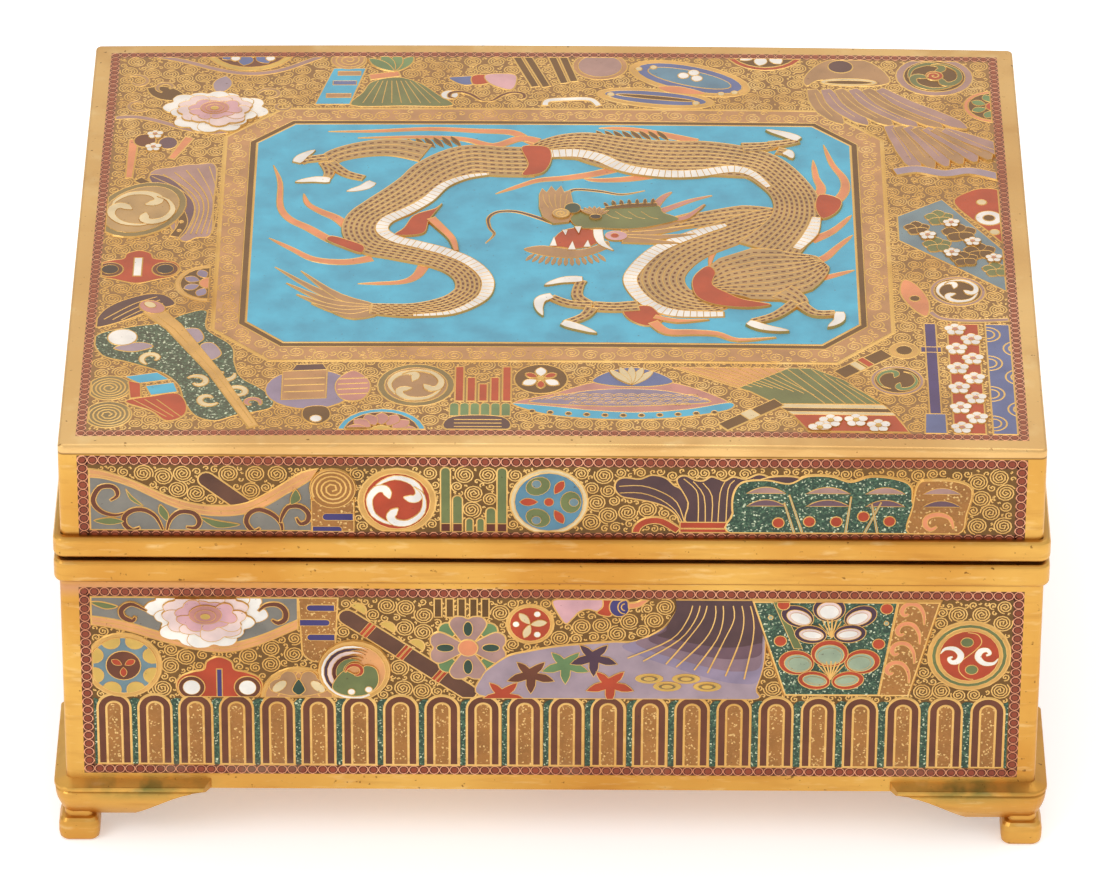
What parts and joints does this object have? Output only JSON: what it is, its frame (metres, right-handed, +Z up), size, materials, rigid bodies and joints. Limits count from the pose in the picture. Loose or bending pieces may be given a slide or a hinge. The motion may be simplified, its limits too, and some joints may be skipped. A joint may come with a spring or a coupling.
{
  "type": "cloisonne enamel box",
  "caption": "Rectangular box with a lift-off lid on bracket feet, gilt edges, cloisonne enamel all over with a dragon in a panel on the lid.",
  "frame": {"origin": "centre of the box's plan on the surface the feet stand on", "axes": "+X along the front to the right, +Y from the front to the back, +Z up"},
  "size_m": [0.1278, 0.1038, 0.0606],
  "materials": {
    "gilt_brass": "worn gilding, satin, with small dark specks and green corrosion on the feet",
    "enamel": "polished coloured enamel between fine gilt wires"
  },
  "bodies": {
    "root": {"lid_top": "gilt_brass", "lid_walls": "gilt_brass", "lid_rim": "gilt_brass", "body_rim": "gilt_brass", "body_walls": "gilt_brass", "body_floor": "gilt_brass", "foot_front_left": "gilt_brass", "foot_front_right": "gilt_brass", "foot_back_left": "gilt_brass", "foot_back_right": "gilt_brass", "lid_top_enamel": "enamel", "lid_enamel_front": "enamel", "lid_enamel_back": "enamel", "lid_enamel_left": "enamel", "lid_enamel_right": "enamel", "body_enamel_front": "enamel", "body_enamel_back": "enamel", "body_enamel_left": "enamel", "body_enamel_right": "enamel"}
  },
  "joints": []
}
